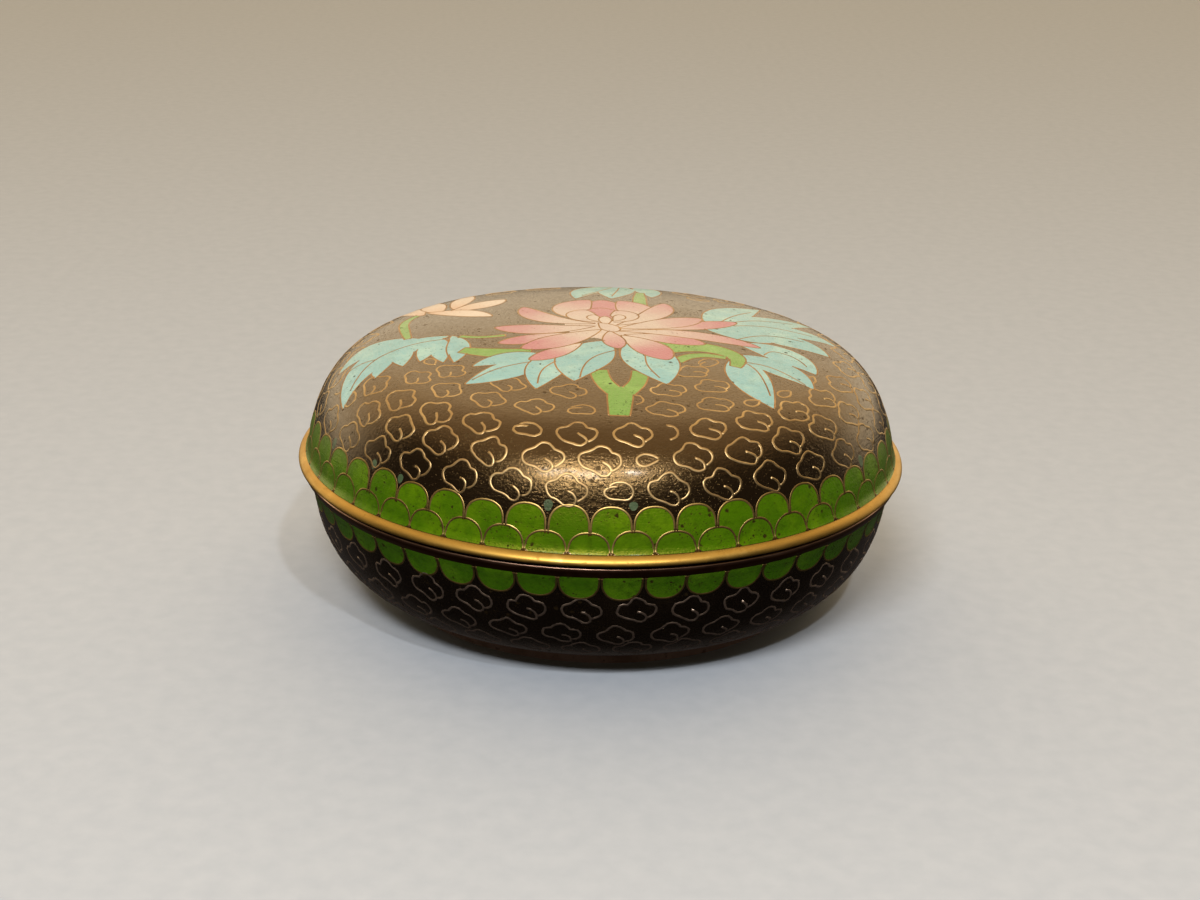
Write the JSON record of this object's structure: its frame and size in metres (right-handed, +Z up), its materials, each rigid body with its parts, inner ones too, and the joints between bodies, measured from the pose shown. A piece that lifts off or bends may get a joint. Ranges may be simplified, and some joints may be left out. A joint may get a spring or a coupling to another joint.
{
  "type": "lidded box",
  "caption": "Round lidded box in cloisonné enamel: shallow bowl on a foot ring, metal band with an upright lip, and a lift-off cushion-shaped lid with a metal bead.",
  "frame": {"origin": "centre of the foot ring, on the surface the box stands on", "axes": "+Z up along the axis that every piece is turned about; -Y is the side seen from the front"},
  "size_m": [0.12, 0.12, 0.053],
  "materials": {
    "cloisonne_enamel": "black vitreous enamel ground, stoned and polished flush with gilt copper wire, with green, turquoise, pink and cream cells",
    "lining_enamel": "plain turquoise counter-enamel, fire-glossed",
    "gilt_brass": "polished gilt, softly worn",
    "copper_band": "toned copper, worn bright on its edge",
    "gilt_wire": "gilt flat wire, ground flush and polished"
  },
  "bodies": {
    "root": {"foot_ring": "gilt_brass", "bowl": "cloisonne_enamel", "bowl_rim": "copper_band", "lid_rim": "gilt_brass", "lid": "cloisonne_enamel"}
  },
  "joints": []
}
